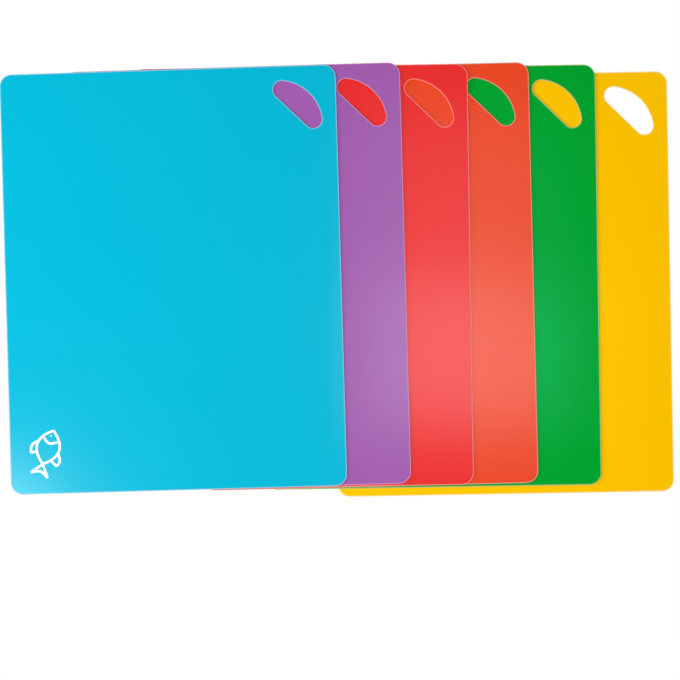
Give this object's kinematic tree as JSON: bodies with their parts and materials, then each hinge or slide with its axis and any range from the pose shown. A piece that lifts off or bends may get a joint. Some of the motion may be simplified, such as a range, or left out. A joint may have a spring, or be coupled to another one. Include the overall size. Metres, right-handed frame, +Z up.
{
  "type": "flexible cutting mat",
  "caption": "Set of thin flexible plastic cutting mats laid in a fan, each with rounded corners, a D-shaped grip hole at one corner and its own colour for one kind of food.",
  "frame": {"origin": "middle of the fan's outer box, on the table surface under the yellow mat", "axes": "+X along the fan, from the blue mat's side to the yellow mat's; +Y away from the user, towards the edge with the grip holes; +Z up off the table"},
  "size_m": [0.6116, 0.3938, 0.006],
  "materials": {
    "yellow_plastic": "semi-matte coloured polypropylene sheet with a fine grain",
    "green_plastic": "semi-matte coloured polypropylene sheet with a fine grain",
    "orange_plastic": "semi-matte coloured polypropylene sheet with a fine grain",
    "red_plastic": "semi-matte coloured polypropylene sheet with a fine grain",
    "purple_plastic": "semi-matte coloured polypropylene sheet with a fine grain",
    "blue_plastic": "semi-matte coloured polypropylene sheet with a fine grain"
  },
  "bodies": {
    "yellow_mat": {"yellow_mat": "yellow_plastic"},
    "green_mat": {"green_mat": "green_plastic"},
    "orange_mat": {"orange_mat": "orange_plastic"},
    "red_mat": {"red_mat": "red_plastic"},
    "purple_mat": {"purple_mat": "purple_plastic"},
    "blue_mat": {"blue_mat": "blue_plastic"}
  },
  "joints": [
    {"name": "green_mat_lift", "type": "slide", "parent": "yellow_mat", "child": "green_mat", "axis": [0, 0, 1], "range_m": [0, 0.06]},
    {"name": "orange_mat_lift", "type": "slide", "parent": "green_mat", "child": "orange_mat", "axis": [0, 0, 1], "range_m": [0, 0.06]},
    {"name": "red_mat_lift", "type": "slide", "parent": "orange_mat", "child": "red_mat", "axis": [0, 0, 1], "range_m": [0, 0.06]},
    {"name": "purple_mat_lift", "type": "slide", "parent": "red_mat", "child": "purple_mat", "axis": [0, 0, 1], "range_m": [0, 0.06]},
    {"name": "blue_mat_lift", "type": "slide", "parent": "purple_mat", "child": "blue_mat", "axis": [0, 0, 1], "range_m": [0, 0.06]}
  ]
}
